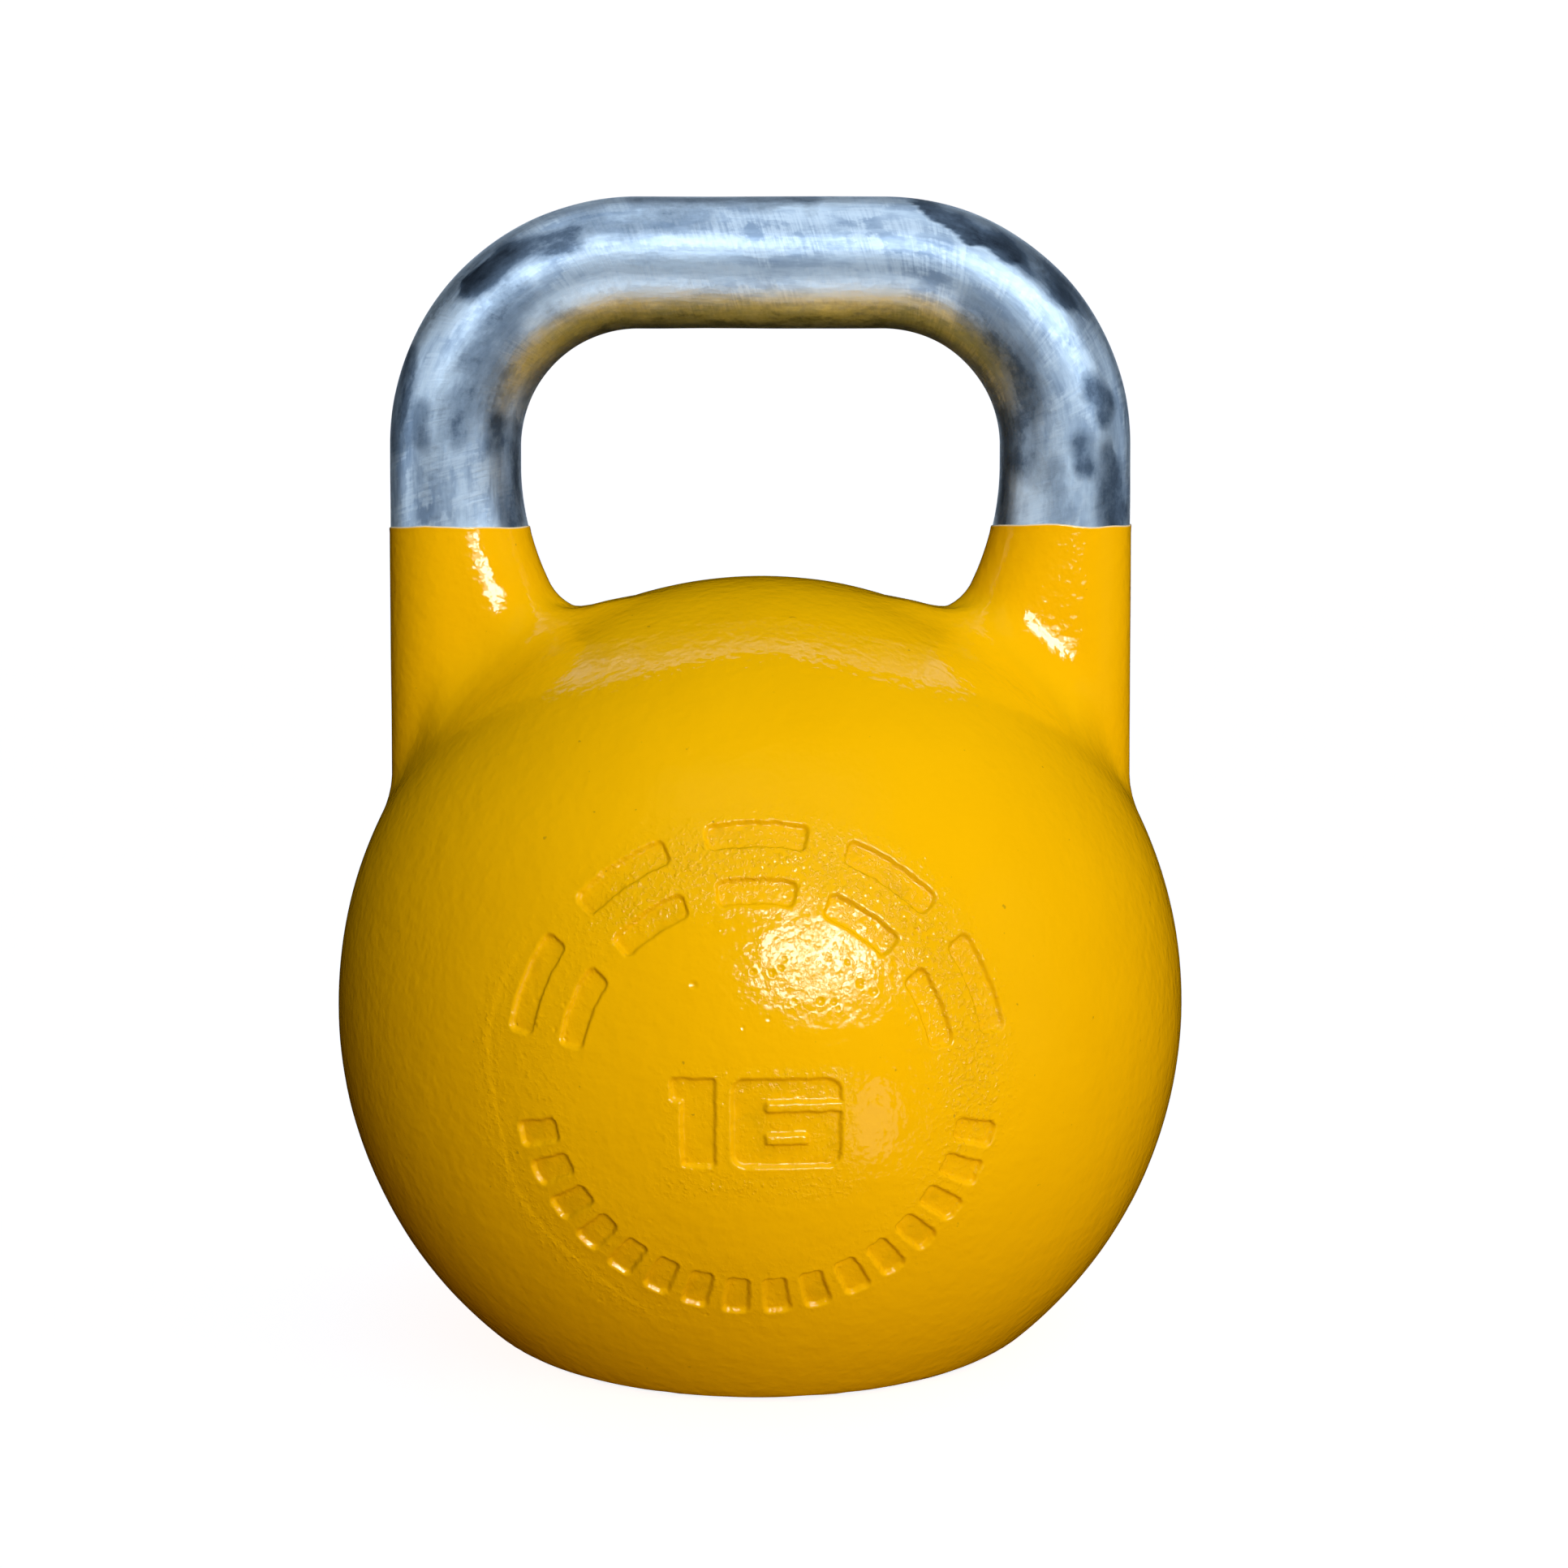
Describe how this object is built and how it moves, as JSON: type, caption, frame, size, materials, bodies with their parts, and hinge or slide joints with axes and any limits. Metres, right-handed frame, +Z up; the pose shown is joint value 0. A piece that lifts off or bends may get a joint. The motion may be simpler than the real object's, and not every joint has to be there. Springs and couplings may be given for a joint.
{
  "type": "kettlebell",
  "caption": "Round sport kettlebell: a hollow steel ball on a flat base, glossy yellow enamel, two horns and a bare ground steel handle.",
  "frame": {"origin": "centre of the flat base, in the plane that the kettlebell stands on", "axes": "+Z up from the base to the handle, +X along the grip to the right seen from the marked face, -Y out of the marked face"},
  "size_m": [0.21, 0.21, 0.28],
  "materials": {
    "ground_steel": "cast steel, ground by hand, bare on the handle",
    "yellow_enamel": "thick gloss enamel",
    "iron_shot": "iron shot bound in resin",
    "packing_foam": "rigid foam",
    "plug_steel": "turned steel, oiled black",
    "washer_rubber": "moulded rubber"
  },
  "bodies": {
    "root": {"bell_casting": "ground_steel", "enamel_coat": "yellow_enamel", "shot_ballast": "iron_shot", "foam_packing": "packing_foam", "base_plug": "plug_steel", "plug_washer": "washer_rubber"}
  },
  "joints": []
}
